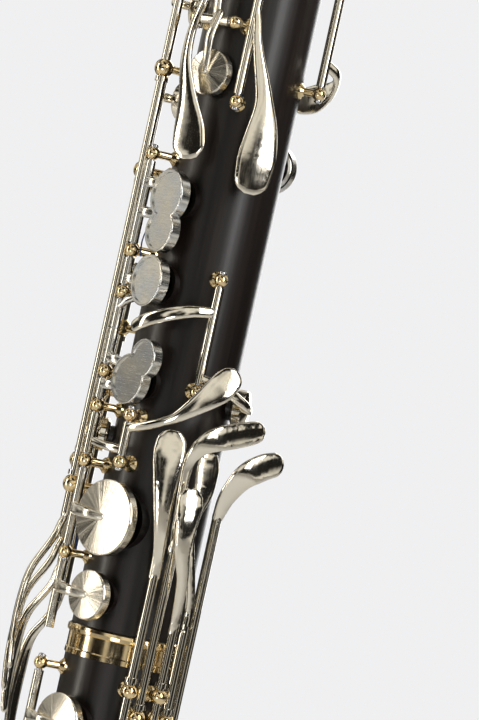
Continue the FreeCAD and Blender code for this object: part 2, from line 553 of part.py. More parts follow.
def joint_rings():
    """The metal bands at the joint line, at the top of the upper joint and at the foot of the lower joint."""
    inner = BODY_R - 0.8
    middle = turned([(inner, MEET - 10.0), (BODY_R + 0.45, MEET - 10.0), (BODY_R + 0.45, MEET - 8.4),
                     (BODY_R + 0.2, MEET - 8.0), (BODY_R + 0.2, MEET - 3.0), (BODY_R + 0.9, MEET - 2.6),
                     (BODY_R + 1.05, MEET - 1.6), (BODY_R + 0.9, MEET - 0.6), (BODY_R + 0.3, MEET - 0.2),
                     (inner, MEET - 0.2)])
    top, foot = MEET + UPPER_TOP, MEET + LOWER_END
    upper = turned([(14.2, top), (BODY_R + 0.6, top), (BODY_R + 1.0, top + 0.8), (BODY_R + 0.6, top + 2.4),
                    (BODY_R - 1.0, top + 3.0), (14.2, top + 3.0)])
    lower = turned([(TENON_R, foot), (BODY_R + 0.4, foot), (BODY_R + 0.4, foot - 2.0), (TENON_R, foot - 2.0)])
    return [middle, upper, lower]


# ---- posts and steels as they stand on each joint -------------------------------------------------------------
def posts_of(low, high):
    """All posts and guides whose feet are between two heights."""
    found = posts(STACK, [h for h in STACK_POSTS_UPPER + STACK_POSTS_LOWER if low < h < high])
    for name, hinge in TRILLS.items():
        found += guides(hinge, [h for h in SIDE_GUIDES[name] if low < h < high], ball=3.2)
    for name, hinge in LEVERS.items():
        found += guides(hinge, [h for h in LEVER_GUIDES[name] if low < h < high])
    for name, hinge in LOW_KEYS.items():
        found += posts(hinge, [h for h in low_post_heights(name) if low < h < high])
    for hinge, heights in PLAIN_POSTS:
        found += posts(hinge, [h for h in heights if low < h < high])
    for hinge in (CROSS_A_LOW, CROSS_A_TOP):
        if low < hinge[2] < high:
            found += cross_posts(hinge, CROSS_HALF)
    return found


def steels_upper():
    """Hinge rods screwed through the posts of the upper joint."""
    rods = [rod(STACK, STACK_POSTS_UPPER[-1] - 1.9, STACK_POSTS_UPPER[0] + 1.9, STEEL_R)]
    rods += [rod(hinge, heights[0] - 1.9, heights[1] + 1.9, STEEL_R) for hinge, heights in PLAIN_POSTS]
    rods += [cross_steel(hinge, CROSS_HALF) for hinge in (CROSS_A_LOW, CROSS_A_TOP)]
    return rods


def steels_lower():
    rods = [rod(STACK, STACK_POSTS_LOWER[-1] - 1.9, STACK_POSTS_LOWER[0] + 1.9, STEEL_R)]
    for name, hinge in LOW_KEYS.items():
        high, low = low_post_heights(name)
        rods.append(rod(hinge, low - 1.9, high + 1.9, STEEL_R))
    return rods


# ---- tubes that bend ------------------------------------------------------------------------------------------
def bent_stations(start, first, radius, turn, last, forward):
    """Points and directions down a tube: straight, then an arc of that turn, then straight again.
    It starts along z (up if first > 0, down if less) and bends towards forward along y."""
    rise = 1 if first > 0 else -1
    begin = start + UP * first
    stations = [(start, UP * rise), (start + UP * first * 0.5, UP * rise)]
    steps = max(4, round(turn / 12))
    for i in range(steps + 1):
        a = math.radians(turn * i / steps)
        point = begin + Vector(0, forward * radius * (1 - math.cos(a)), rise * radius * math.sin(a))
        stations.append((point, Vector(0, forward * math.sin(a), rise * math.cos(a))))
    point, way = stations[-1]
    stations += [(point + way * (last * share), way) for share in (0.25, 0.5, 0.75, 1.0)]
    return stations


def lofted_tube(stations, radii):
    """A solid through a circle of each radius at each station."""
    wires = [Part.Wire([Part.Circle(p, way, r).toShape()]) for (p, way), r in zip(stations, radii)]
    return Part.makeLoft(wires, True, False, False, 3)


def spread(count, profile):
    """Radii for that many stations from (share of the way, radius) points, eased between them."""
    radii = []
    for i in range(count):
        u = i / (count - 1)
        for (u0, r0), (u1, r1) in zip(profile, profile[1:]):
            if u0 <= u <= u1:
                radii.append(r0 + (r1 - r0) * (u - u0) / (u1 - u0))
                break
    return radii


NECK_WALL = 1.0
NECK_START = UPPER_TOP - 17.5
NECK_BEND, NECK_TURN, NECK_RUN = 52.0, 78.0, 62.0
BELL_WALL = 1.1
BELL_BEND, BELL_TURN, BELL_RUN = 58.0, 152.0, 150.0
BELL_TOP = LOWER_END - 3.0
BELL_DOWN = 62.0
BOW_SHARE = 0.56        # where the bow ends and the flare starts, along the bell
MOUTH_R = 62.0


def neck_stations():
    return bent_stations(Vector(0, 0, MEET + UPPER_TOP + 3.4), 46.0, NECK_BEND, NECK_TURN, NECK_RUN, 1)


def neck():
    stations = neck_stations()
    radii = spread(len(stations), [(0, 12.6), (0.3, 11.8), (1, 9.6)])
    outer = lofted_tube(stations, radii)
    inner = lofted_tube(stations, [r - NECK_WALL for r in radii])
    base = MEET + UPPER_TOP
    collar_ring = turned([(9, base + 3.2), (17.2, base + 3.2), (17.8, base + 4.4), (17.2, base + 6.6),
                          (14.4, base + 8.0), (13.6, base + 16.0), (12.2, base + 18.0), (9, base + 18.0)])
    tenon = Part.makeCylinder(13.9, 20.9, Vector(0, 0, base - 17.5))
    through = Part.makeCylinder(11.4, 60, Vector(0, 0, base - 30))
    end, way = stations[-1]
    ring = lofted_tube([(end - way * 24, way), (end - way * 21, way)], [12.2, 12.2])
    body = outer.multiFuse([collar_ring, tenon, ring]).cut(inner).cut(through)
    return max(body.Solids, key=lambda solid: solid.Volume)


def cork_at_neck():
    end, way = neck_stations()[-1]
    outer = Part.makeCylinder(11.1, 20.0, end - way * 20.5, way)
    return outer.cut(Part.makeCylinder(10.35, 40.0, end - way * 30, way))


def mouthpiece_place():
    """Where the mouthpiece starts, which way it points, and which way its reed faces."""
    end, way = neck_stations()[-1]
    return frame_at(end - way * 20.2, Vector(-1, 0, 0), way)


MOUTHPIECE_LENGTH = 92.0


def rounded_slab(half_x, low_y, high_y, z, corner):
    """A closed outline of four straight sides and four round corners, at height z."""
    corner = min(corner, half_x * 0.98, (high_y - low_y) * 0.49)
    arcs = []
    for cx, cy, first in ((half_x - corner, high_y - corner, 0), (-half_x + corner, high_y - corner, 90),
                          (-half_x + corner, low_y + corner, 180), (half_x - corner, low_y + corner, 270)):
        turns = [math.radians(first + step) for step in (0, 45, 90)]
        arcs.append([Vector(cx + corner * math.cos(a), cy + corner * math.sin(a), z) for a in turns])
    edges = []
    for arc, following in zip(arcs, arcs[1:] + arcs[:1]):
        edges.append(Part.Arc(*arc).toShape())
        edges.append(Part.LineSegment(arc[-1], following[0]).toShape())
    return Part.Wire(edges)


def mouthpiece():
    """Its own z runs from the shank to the tip, and its table is at low y."""
    shank = turned([(11.2, 0), (15.0, 0), (15.2, 1.0), (15.2, 24.0), (14.6, 25.0), (11.2, 25.0)])
    rows = [(14.6, -13.2, 14.6, 24.5, 13), (14.3, -11.4, 14.3, 34, 12), (13.4, -10.6, 13.2, 48, 10),
            (11.8, -10.4, 10.4, 60, 7), (9.6, -10.3, 4.4, 74, 4), (8.2, -10.2, -3.6, 86, 2.4),
            (7.2, -10.1, -8.4, MOUTHPIECE_LENGTH, 0.8)]
    beak = Part.makeLoft([rounded_slab(*row) for row in smoothed(rows, 2)], True, True)
    bore = Part.makeCylinder(11.2, 25, Vector(0, 0, -0.5))
    throat = Part.makeCone(8.5, 6.0, 24, Vector(0, -1.0, 24))
    window = Part.makeBox(11.0, 9.0, 36.0, Vector(-5.5, -14.0, 50.0))
    table = Part.makeBox(40, 10, 80, Vector(-20, -20.2, 28))
    body = beak.fuse(shank).cut(bore).cut(throat).cut(window)
    body = body.cut(table)
    body = max(body.Solids, key=lambda solid: solid.Volume)
    body.Placement = mouthpiece_place()
    return body


def reed():
    rows = [(6.6, -12.4, -10.25, 30.0, 0.7), (6.6, -12.4, -10.25, 58.0, 0.7), (6.6, -11.3, -10.25, 80.0, 0.4),
            (6.6, -10.7, -10.25, 90.5, 0.2)]
    shape = Part.makeLoft([rounded_slab(*row) for row in rows], True, True)
    shape.Placement = mouthpiece_place()
    return shape


def ligature():
    outer = Part.makeLoft([rounded_slab(15.7, -14.6, 15.6, z, 12) for z in (32.0, 50.0)], True, True)
    inner = Part.makeLoft([rounded_slab(14.95, -13.7, 14.85, z, 12) for z in (31.0, 51.0)], True, True)
    lugs = [Part.makeBox(9.0, 5.6, 5.0, Vector(-4.5, -19.8, z)) for z in (34.5, 42.5)]
    body = outer.multiFuse(lugs).cut(inner)
    body = body.cut(Part.makeBox(1.6, 6.5, 30, Vector(-0.8, -20, 28)))
    for z in (37.0, 45.0):
        body = body.cut(Part.makeCylinder(1.15, 30, Vector(-15, -18.0, z), Vector(1, 0, 0)))
    body = max(body.Solids, key=lambda solid: solid.Volume)
    body.Placement = mouthpiece_place()
    return body


def ligature_screws():
    screws = []
    for z in (37.0, 45.0):
        stem = Part.makeCylinder(1.1, 12.0, Vector(-5.4, -18.0, z), Vector(1, 0, 0))
        head = Part.makeCylinder(2.9, 5.5, Vector(5.0, -18.0, z), Vector(1, 0, 0))
        screw = stem.fuse(head)
        screw.Placement = mouthpiece_place()
        screws.append(screw.Solids[0])
    return screws


# ---- the bell and the peg -------------------------------------------------------------------------------------
def bell_stations():
    return bent_stations(Vector(0, 0, MEET + BELL_TOP), -BELL_DOWN, BELL_BEND, BELL_TURN, BELL_RUN, -1)


def bell_radii(count):
    return spread(count, [(0, 17.0), (0.12, 15.5), (0.45, 20.0), (0.72, 27.5), (0.79, 31.0), (0.86, 37.0),
                          (0.93, 46.0), (1, MOUTH_R)])


def bell_part(first, last):
    """A stretch of the bell's wall between two of its stations."""
    stations = bell_stations()
    radii = bell_radii(len(stations))
    outer = lofted_tube(stations[first:last], radii[first:last])
    inner = lofted_tube(stations[first:last], [r - BELL_WALL for r in radii[first:last]])
    body = outer.cut(inner)
    return max(body.Solids, key=lambda solid: solid.Volume)


def bow_end():
    """How many stations the bow takes: all of its bend."""
    return len(bell_stations()) - 4


def bell_bow():
    top = MEET + LOWER_END
    body = bell_part(0, bow_end())
    socket = turned([(TENON_R + 0.15, top - 2.2), (18.9, top - 2.2), (19.4, top - 3.6), (18.9, top - 5.0), (18.2, top - 6),
                     (18.2, top - 24), (17.2, top - 27), (16.0, top - 27), (16.0, top - TENON_LENGTH - 1),
                     (TENON_R + 0.15, top - TENON_LENGTH - 1)])
    clear = Part.makeCylinder(TENON_R + 0.15, TENON_LENGTH + 30, Vector(0, 0, top - TENON_LENGTH - 1))
    body = body.cut(clear).fuse(socket)
    return max(body.Solids, key=lambda solid: solid.Volume)


def bell_flare():
    body = bell_part(bow_end() - 1, len(bell_stations()))
    mouth, way = bell_stations()[-1]
    rim = Part.makeTorus(MOUTH_R - 0.4, 1.6, mouth, way)
    return body.fuse(rim).Solids[0]


def bell_ring():
    """The band that hides the seam between bow and flare."""
    point, way = bell_stations()[bow_end() - 1]
    r = bell_radii(len(bell_stations()))[bow_end() - 1]
    outer = Part.makeCylinder(r + 2.2, 7.0, point - way * 3.5, way)
    return outer.cut(Part.makeCylinder(r + 0.9, 9.0, point - way * 4.5, way))


PEG_R = 4.0
PEG_Y = 26.0
PEG_TOP = 262.0
HOLDER_LOW, HOLDER_HIGH = 200.0, 244.0
SCREW_Z = 212.0


def peg_holder():
    """The socket soldered behind the bow, with its thumb screw's boss."""
    tube = Part.makeCylinder(7.0, HOLDER_HIGH - HOLDER_LOW, Vector(0, PEG_Y, HOLDER_LOW))
    web = Part.makeBox(8.0, 14.0, HOLDER_HIGH - HOLDER_LOW - 8, Vector(-4.0, PEG_Y - 16.0, HOLDER_LOW + 4))
    boss = Part.makeCylinder(4.6, 9.0, Vector(4.0, PEG_Y, SCREW_Z), Vector(1, 0, 0))
    lips = []
    for z in (HOLDER_LOW, HOLDER_HIGH - 3):
        lip = turned([(4.5, z), (7.6, z), (8.0, z + 1.5), (7.6, z + 3), (4.5, z + 3)])
        lip.translate(Vector(0, PEG_Y, 0))
        lips.append(lip)
    stations = bell_stations()
    bow = lofted_tube(stations[:8], [r + 0.02 for r in bell_radii(len(stations))[:8]])
    body = tube.multiFuse([web, boss] + lips).cut(bow)
    body = body.cut(Part.makeCylinder(PEG_R + RUN, 300, Vector(0, PEG_Y, 0)))
    body = body.cut(Part.makeCylinder(2.0 + RUN, 30.0, Vector(0, PEG_Y, SCREW_Z), Vector(1, 0, 0)))
    return max(body.Solids, key=lambda solid: solid.Volume)


def peg_rod():
    shaft = Part.makeCylinder(PEG_R, PEG_TOP - 22.0, Vector(0, PEG_Y, 22.0))
    stop = turned([(0, PEG_TOP), (5.6, PEG_TOP), (6.0, PEG_TOP + 1.0), (5.6, PEG_TOP + 4.0), (0, PEG_TOP + 5.0)])
    stop.translate(Vector(0, PEG_Y, 0))
    return shaft.fuse(stop)


def peg_tip():
    foot = turned([(0, 0), (5.2, 0), (6.6, 1.2), (7.0, 4.0), (6.6, 14.0), (5.6, 24.0), (4.9, 30.0), (PEG_R, 30.0),
                   (PEG_R, 22.0), (0, 22.0)])
    foot.translate(Vector(0, PEG_Y, 0))
    return foot


def peg_thumb_screw():
    stem = Part.makeCylinder(2.0, 15.0, Vector(PEG_R + 0.3, PEG_Y, SCREW_Z), Vector(1, 0, 0))
    neck_part = Part.makeCylinder(2.9, 3.0, Vector(13.6, PEG_Y, SCREW_Z), Vector(1, 0, 0))
    wing = [Part.makeCylinder(4.6, 2.2, Vector(20.0, PEG_Y - 1.1, SCREW_Z + z), Vector(0, 1, 0)) for z in (-3.6, 3.6)]
    bridge = Part.makeBox(5.0, 2.2, 9.0, Vector(15.6, PEG_Y - 1.1, SCREW_Z - 4.5))
    return joined([stem, neck_part, bridge] + wing)


# ---- what the player and the strap hold -----------------------------------------------------------------------
THUMB_REST = (180.0, -62.0)
STRAP_RING = (180.0, -22.0)


def fixed_to_body(angle, height, half_width, half_height, thick, fitting):
    """A plate bent to the body, with a fitting standing on it."""
    block = on_body(Part.makeBox(2 * half_width, 2 * half_height, 12, Vector(-half_width, -half_height, 12)),
                    angle, height)
    low = Vector(0, 0, MEET + height - 50)
    plate = block.common(Part.makeCylinder(BODY_R + thick, 100, low))
    whole = plate.fuse(fitting).cut(Part.makeCylinder(BODY_R + 0.01, 100, low))
    return max(whole.Solids, key=lambda solid: solid.Volume)


def thumb_rest():
    angle, height = THUMB_REST
    hook = blade([(angle, 17.0, height + 9, 7.0, 1.3), (angle, 22.0, height + 9.5, 7.6, 1.3),
                  (angle, 28.0, height + 8.5, 8.2, 1.3), (angle, 34.0, height + 5.0, 8.0, 1.2)], start=False)
    return fixed_to_body(angle, height, 7.5, 15.0, 1.8, hook)


def strap_ring():
    angle, height = STRAP_RING
    ring = Part.makeTorus(6.0, 1.4, spot(angle, BODY_R + 8.0, height), Vector(1, 0, 0))
    return fixed_to_body(angle, height, 5.5, 9.0, 1.8, ring)


# ---- the vent key on the neck ---------------------------------------------------------------------------------
VENT_STATION = 8
VENT_PIVOT = 17.6       # height of its hinge above the neck's axis
VENT_SIDE = 6.8


def vent_place():
    point, way = neck_stations()[VENT_STATION]
    return frame_at(point, Vector(1, 0, 0), Vector(1, 0, 0).cross(way))


def neck_vent_posts():
    """Two small posts and the vent's pip, soldered on the neck."""
    shapes = []
    skin = Part.makeCylinder(12.0, 60, Vector(0, -30, 0), Vector(0, 1, 0))
    for x in (-VENT_SIDE, VENT_SIDE):
        post_part = Part.makeCylinder(1.5, VENT_PIVOT - 4, Vector(x, 0, 4))
        post_part = post_part.fuse(Part.makeSphere(2.1, Vector(x, 0, VENT_PIVOT)))
        post_part = post_part.cut(Part.makeCylinder(STEEL_R, 30, Vector(-15, 0, VENT_PIVOT), Vector(1, 0, 0)))
        shapes.append(post_part.cut(skin))
    pip = Part.makeCylinder(2.4, 8.0, Vector(0, -15.0, 6.4)).cut(Part.makeCylinder(1.2, 30.0, Vector(0, -15.0, 0)))
    shapes.append(pip.cut(skin))
    steel = Part.makeCylinder(STEEL_R, 2 * VENT_SIDE + 3.4, Vector(-VENT_SIDE - 1.7, 0, VENT_PIVOT), Vector(1, 0, 0))
    shapes.append(steel)
    for shape in shapes:
        shape.Placement = vent_place()
    return [max(shape.Solids, key=lambda solid: solid.Volume) for shape in shapes]


def neck_vent_key():
    x = Vector(1, 0, 0)
    tube = Part.makeCylinder(TUBE_R, 2 * VENT_SIDE - 4.8, Vector(2.4 - VENT_SIDE, 0, VENT_PIVOT), x)
    bar = Part.makeBox(3.0, 33.0, 1.8, Vector(-1.5, -16.5, VENT_PIVOT - 0.4))
    button = Part.makeCylinder(3.4, 2.2, Vector(0, -15.0, 14.6 + 1.4))
    paddle = Part.makeCylinder(4.6, 1.8, Vector(0, 18.0, VENT_PIVOT - 0.4))
    key = tube.multiFuse([bar, button, paddle])
    key = key.cut(Part.makeCylinder(STEEL_R + RUN, 60, Vector(-30, 0, VENT_PIVOT), x))
    pad_part = Part.makeCylinder(3.0, 1.5, Vector(0, -15.0, 14.5))
    shapes = [max(key.Solids, key=lambda solid: solid.Volume), pad_part]
    for shape in shapes:
        shape.Placement = vent_place()
    return shapes


# ---- every node -----------------------------------------------------------------------------------------------
PAD_NODES = {"lh1_plate_key": "lh1_pad", "lh2_plate_key": "lh2_pad", "lh3_plate_key": "lh3_pad",
             "lh_resonance_key": "lh_resonance_pad", "bridge_key": "bridge_pad", "rh_resonance_key": "rh_resonance_pad"}


def all_nodes():
    """Yields every node's name and its solids."""
    yield "upper_joint", [upper_joint()]
    yield "lower_joint", [lower_joint()]
    yield "corks", tenon_corks() + [cork_at_neck()]
    yield "joint_rings", joint_rings() + [bell_ring()]
    yield "posts_upper", posts_of(0, UPPER_TOP)
    yield "posts_lower", posts_of(LOWER_END, 0)
    yield "hinge_rods_upper", steels_upper()
    yield "hinge_rods_lower", steels_lower()
    yield "neck", [neck()]
    yield "neck_vent_posts", neck_vent_posts()
    yield "neck_vent_key", neck_vent_key()
    yield "mouthpiece", [mouthpiece()]
    yield "reed", [reed()]
    yield "ligature", [ligature()]
    yield "ligature_screws", ligature_screws()
    yield "bell_bow", [bell_bow()]
    yield "bell_flare", [bell_flare()]
    yield "peg_holder", [peg_holder()]
    yield "peg_rod", [peg_rod()]
    yield "peg_tip", [peg_tip()]
    yield "peg_thumb_screw", [peg_thumb_screw()]
    yield "thumb_rest", [thumb_rest()]
    yield "strap_ring", [strap_ring()]
    for name, builder in [(n, plate_key) for n in PLATES] + [(n, stack_cup_key) for n in STACK_CUPS]:
        key, pads = builder(name)
        if name in PAD_NODES:
            yield name, key
            yield PAD_NODES[name], pads
        else:
            yield name, key + pads
    yield "c_sharp_pad_key", c_sharp_pad_key()
    yield "c_sharp_touch", c_sharp_touch()
    yield "sliver_key", sliver_key()
    yield "throat_g_sharp_key", throat_g_sharp_key()
    yield "throat_a_lower_key", throat_a_lower_key()
    yield "throat_a_key", throat_a_key()
    yield "thumb_key", thumb_key()
    yield "register_key", register_key()
    for name in TRILLS:
        yield name, side_key(name)
    for name in LEVERS:
        yield name, lever(name)
    for name in LOW_KEYS:
        yield name, low_key(name)


def main():
    os.makedirs("parts", exist_ok=True)
    count = 0
    for name, solids in all_nodes():
        shape = solids[0] if len(solids) == 1 else Part.makeCompound(solids)
        if not shape.isValid():
            raise ValueError(f"{name} isn't valid")
        shape.translate(Vector(0, -PEG_Y, 0))
        shape.exportStep(f"parts/{name}.step")
        count += 1
    print(count, "nodes written")


if __name__ == "__main__":
    main()
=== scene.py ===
"""Looks for a bass clarinet: oiled wood, polished keywork, pads, screws, springs and the studio."""

import json
import math

import bmesh
import bpy
from mathutils import Matrix, Vector


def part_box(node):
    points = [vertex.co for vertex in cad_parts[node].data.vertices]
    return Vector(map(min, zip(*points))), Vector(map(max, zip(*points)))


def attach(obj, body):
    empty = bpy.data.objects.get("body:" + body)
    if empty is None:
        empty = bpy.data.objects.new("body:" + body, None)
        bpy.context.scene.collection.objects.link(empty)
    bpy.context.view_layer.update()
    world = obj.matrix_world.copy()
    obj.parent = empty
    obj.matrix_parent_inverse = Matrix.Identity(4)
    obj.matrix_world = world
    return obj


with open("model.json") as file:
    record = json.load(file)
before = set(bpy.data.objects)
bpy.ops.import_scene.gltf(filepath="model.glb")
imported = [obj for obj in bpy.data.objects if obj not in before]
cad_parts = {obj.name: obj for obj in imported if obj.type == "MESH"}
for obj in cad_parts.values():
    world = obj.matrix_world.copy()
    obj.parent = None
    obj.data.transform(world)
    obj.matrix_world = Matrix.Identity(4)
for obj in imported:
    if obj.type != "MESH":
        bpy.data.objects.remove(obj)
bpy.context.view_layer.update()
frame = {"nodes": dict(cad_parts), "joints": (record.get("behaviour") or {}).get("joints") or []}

bl_info = {
    "name": "Bass Clarinet Finish",
    "version": (1, 0, 0),
    "blender": (4, 5, 0),
    "location": "View3D > Sidebar > Clarinet",
    "description": "Finishes the wood, keywork and fittings of a bass clarinet and lights it",
    "category": "Object",
}

JOINTS = {joint["child"]: joint for joint in frame["joints"]}
WOOD_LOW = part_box("upper_joint")[0]
TENON = 0.020
TENON_R = 0.01495                                # outside of the cork on a tenon
MEET = WOOD_LOW[2] + TENON                       # height of the line where the wooden joints meet
AXIS_X, AXIS_Y = 0.0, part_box("corks")[0][1] + TENON_R


# ---- places on the body ----------------------------------------------------------------------
def outward(angle):
    a = math.radians(angle)
    return Vector((math.sin(a), -math.cos(a), 0.0))


def around(angle):
    a = math.radians(angle)
    return Vector((math.cos(a), math.sin(a), 0.0))


def spot(angle, radius, height):
    """A point on the keywork: degrees from the front, and metres from the axis and above the joint line."""
    return Vector((AXIS_X, AXIS_Y, MEET + height)) + outward(angle) * radius


def hinge_of(name):
    """The angle and radius of a key's hinge line, read from its joint."""
    x, y, _ = JOINTS[name]["pos_m"]
    x, y = x - AXIS_X, y - AXIS_Y
    return math.degrees(math.atan2(x, -y)), math.hypot(x, y)


# ---- properties ------------------------------------------------------------------------------
def colour(name, text, value):
    return bpy.props.FloatVectorProperty(name=name, description=text, subtype="COLOR", size=3, min=0, max=1,
                                         default=value)


class ClarinetColours(bpy.types.PropertyGroup):
    wood: colour("Wood", "Ground colour of the grenadilla", (0.0048, 0.0022, 0.0017))
    wood_streak: colour("Wood streak", "Browner streaks along the grain", (0.0150, 0.0062, 0.0040))
    silver: colour("Silver", "Silver plate of the keys", (0.86, 0.81, 0.70))
    warm_plate: colour("Warm plate", "Plate of the posts and rods, a little yellower", (0.86, 0.69, 0.41))
    steel: colour("Steel", "Bare steel of screws and the peg", (0.56, 0.57, 0.60))
    blue_steel: colour("Blued steel", "Needle springs", (0.05, 0.08, 0.20))
    felt: colour("Felt", "Green edge of the pads", (0.012, 0.115, 0.045))
    cork: colour("Cork", "Tenon and neck cork", (0.46, 0.27, 0.13))
    cane: colour("Cane", "Reed", (0.74, 0.55, 0.23))
    rubber: colour("Rubber", "Hard rubber and the peg's foot", (0.012, 0.012, 0.013))
    backdrop: colour("Backdrop", "Paper behind and below", (0.87, 0.87, 0.88))


class ClarinetSizes(bpy.types.PropertyGroup):
    spring_r: bpy.props.FloatProperty(
        name="Spring radius", description="Half the thickness of a needle spring", default=0.00032, unit="LENGTH")
    screw_r: bpy.props.FloatProperty(
        name="Screw head radius", description="Half the width of a rod's slotted end", default=0.00128, unit="LENGTH")
    roughness: bpy.props.FloatProperty(name="Plate roughness", description="How cloudy the polished plate is",
                                       default=0.085, min=0, max=1, subtype="FACTOR")
    distance: bpy.props.FloatProperty(
        name="Camera distance", description="From the camera to the body's axis", default=1.12, unit="LENGTH")


# ---- shader helpers --------------------------------------------------------------------------
class Shader:
    """A material's node tree, built a node at a time."""

    def __init__(self, name, base, metallic=0.0, roughness=0.3):
        self.material = bpy.data.materials.new(name)
        self.material.use_nodes = True
        self.tree = self.material.node_tree
        self.main = self.tree.nodes["Principled BSDF"]
        self.main.inputs["Base Color"].default_value = (*base, 1.0)
        self.main.inputs["Metallic"].default_value = metallic
        self.main.inputs["Roughness"].default_value = roughness
        self.material.diffuse_color = (*base, 1.0)
        self.place = self.tree.nodes.new("ShaderNodeTexCoord").outputs["Object"]

    def node(self, kind, **settings):
        made = self.tree.nodes.new("ShaderNode" + kind)
        for key, value in settings.items():
            if isinstance(value, bpy.types.NodeSocket):
                self.tree.links.new(value, made.inputs[key])
            elif key in made.inputs:
                made.inputs[key].default_value = value
            else:
                setattr(made, key, value)
        return made

    def stretched(self, scale, place=None):
        mapped = self.node("Mapping", Vector=place or self.place)
        mapped.inputs["Scale"].default_value = scale
        return mapped.outputs["Vector"]

    def noise(self, place, scale, detail=3.0, rough=0.55):
        return self.node("TexNoise", Vector=place, Scale=scale, Detail=detail, Roughness=rough).outputs["Fac"]

    def remap(self, value, low, high, start=0.3, stop=0.7):
        made = self.node("MapRange", Value=value)
        for key, number in (("From Min", start), ("From Max", stop), ("To Min", low), ("To Max", high)):
            made.inputs[key].default_value = number
        return made.outputs["Result"]

    def mixed(self, factor, first, second):
        made = self.node("Mix", data_type="RGBA")
        self.tree.links.new(factor, made.inputs[0])
        for socket, value in ((made.inputs[6], first), (made.inputs[7], second)):
            if isinstance(value, bpy.types.NodeSocket):
                self.tree.links.new(value, socket)
            else:
                socket.default_value = (*value, 1.0)
        return made.outputs[2]

    def link(self, value, socket):
        self.tree.links.new(value, self.main.inputs[socket])

    def bump(self, *layers):
        """layers are (height, strength, distance), one on another."""
        normal = None
        for height, strength, distance in layers:
            made = self.node("Bump", Height=height, Strength=strength, Distance=distance)
            if normal is not None:
                self.tree.links.new(normal, made.inputs["Normal"])
            normal = made.outputs["Normal"]
        self.link(normal, "Normal")


def grenadilla(c):
    made = Shader("oiled_grenadilla", c.wood, roughness=0.34)
    grain = made.stretched((260, 260, 9))
    streaks = made.noise(grain, 1.0, 6.0, 0.62)
    broad = made.noise(made.stretched((60, 60, 3.2)), 1.0, 3.0)
    tint = made.mixed(made.remap(streaks, 0.0, 1.0, 0.46, 0.72), c.wood, c.wood_streak)
    deep = made.mixed(made.remap(broad, 0.0, 0.75, 0.45, 0.75), tint, tuple(v * 0.55 for v in c.wood))
    made.link(deep, "Base Color")
    made.link(made.remap(streaks, 0.27, 0.44), "Roughness")
    made.main.inputs["Coat Weight"].default_value = 0.10
    made.main.inputs["Coat Roughness"].default_value = 0.22
    pores = made.noise(made.stretched((900, 900, 40)), 1.0, 2.0)
    made.bump((streaks, 0.16, 0.00025), (pores, 0.10, 0.00012))
    return made.material


def plate(name, base, roughness, wear=0.5):
    """Polished plate: faint wipe marks and a cloudy tarnish."""
    made = Shader(name, base, 1.0, roughness)
    cloud = made.noise(made.place, 95.0, 4.0)
    wipes = made.noise(made.stretched((1500, 1500, 170)), 1.0, 4.0, 0.7)
    warm = tuple(v * f for v, f in zip(base, (0.95, 0.90, 0.80)))
    made.link(made.mixed(made.remap(cloud, 0.0, wear, 0.42, 0.72), base, warm), "Base Color")
    made.link(made.remap(wipes, roughness * 0.7, roughness * 1.7), "Roughness")
    made.bump((wipes, 0.035, 0.00008), (cloud, 0.05, 0.0006))
    return made.material


def spun_cup(name, base, centre, out):
    """Plate turned on a lathe: fine rings and a sheen that fans out from the middle, partly in roughness and bump,
    partly painted sheen: darker rays in the colour.
    """
    made = Shader(name, base, 1.0, 0.16)
    away = made.node("VectorMath", operation="SUBTRACT")
    made.tree.links.new(made.place, away.inputs[0])
    away.inputs[1].default_value = centre
    side = Vector((0, 0, 1)).cross(out).normalized()
    parts = []
    for direction in (side, Vector((0, 0, 1))):
        dot = made.node("VectorMath", operation="DOT_PRODUCT")
        made.tree.links.new(away.outputs[0], dot.inputs[0])
        dot.inputs[1].default_value = direction
        parts.append(dot.outputs["Value"])
    turn = made.node("Math", operation="ARCTAN2")
    both = made.node("CombineXYZ")
    for i, part in enumerate(parts):
        made.tree.links.new(part, turn.inputs[i])
        made.tree.links.new(part, both.inputs[i])
    size = made.node("VectorMath", operation="LENGTH")
    made.tree.links.new(both.outputs[0], size.inputs[0])
    rays = made.node("CombineXYZ")
    made.tree.links.new(turn.outputs[0], rays.inputs[0])
    sheen_fans = made.noise(made.stretched((5.0, 5.0, 5.0), rays.outputs[0]), 1.0, 5.0, 0.6)
    rings = made.node("CombineXYZ")
    made.tree.links.new(size.outputs["Value"], rings.inputs[0])
    grooves = made.noise(made.stretched((5200, 1, 1), rings.outputs[0]), 1.0, 2.0)
    made.link(made.remap(sheen_fans, 0.12, 0.32), "Roughness")
    # painted sheen: the colour darkens along the same radial fans, standing in for the spun plate's reflection
    made.link(made.mixed(made.remap(sheen_fans, 0.0, 0.6), base, tuple(v * 0.82 for v in base)), "Base Color")
    made.bump((grooves, 0.10, 0.00005), (sheen_fans, 0.14, 0.0008))
    return made.material


def brushed(name, base):
    """Plate brushed one way, as on a finger plate's dish, with a painted bluish reflection in clouds over its colour.
    """
    made = Shader(name, base, 1.0, 0.2)
    lines = made.noise(made.stretched((240, 240, 5200)), 1.0, 4.0, 0.65)
    cloud = made.noise(made.place, 140.0, 3.0)
    # painted reflection: bluish clouds in the colour stand in for blue light that the plate reflects
    made.link(made.mixed(made.remap(cloud, 0.0, 0.7), base, (0.62, 0.68, 0.76)), "Base Color")
    made.link(made.remap(lines, 0.12, 0.30), "Roughness")
    made.bump((lines, 0.05, 0.00004),)
    return made.material


def plain(name, base, roughness, grain, depth, metallic=0.0, tint=0.6):
    """A quiet material: one colour broken up by a fine grain."""
    made = Shader(name, base, metallic, roughness)
    fine = made.noise(made.place, grain, 4.0, 0.6)
    made.link(made.mixed(made.remap(fine, 0.0, 1.0), base, tuple(v * tint for v in base)), "Base Color")
    made.link(made.remap(fine, roughness * 0.8, min(1.0, roughness * 1.25)), "Roughness")
    made.bump((fine, 0.35, depth),)
    return made.material


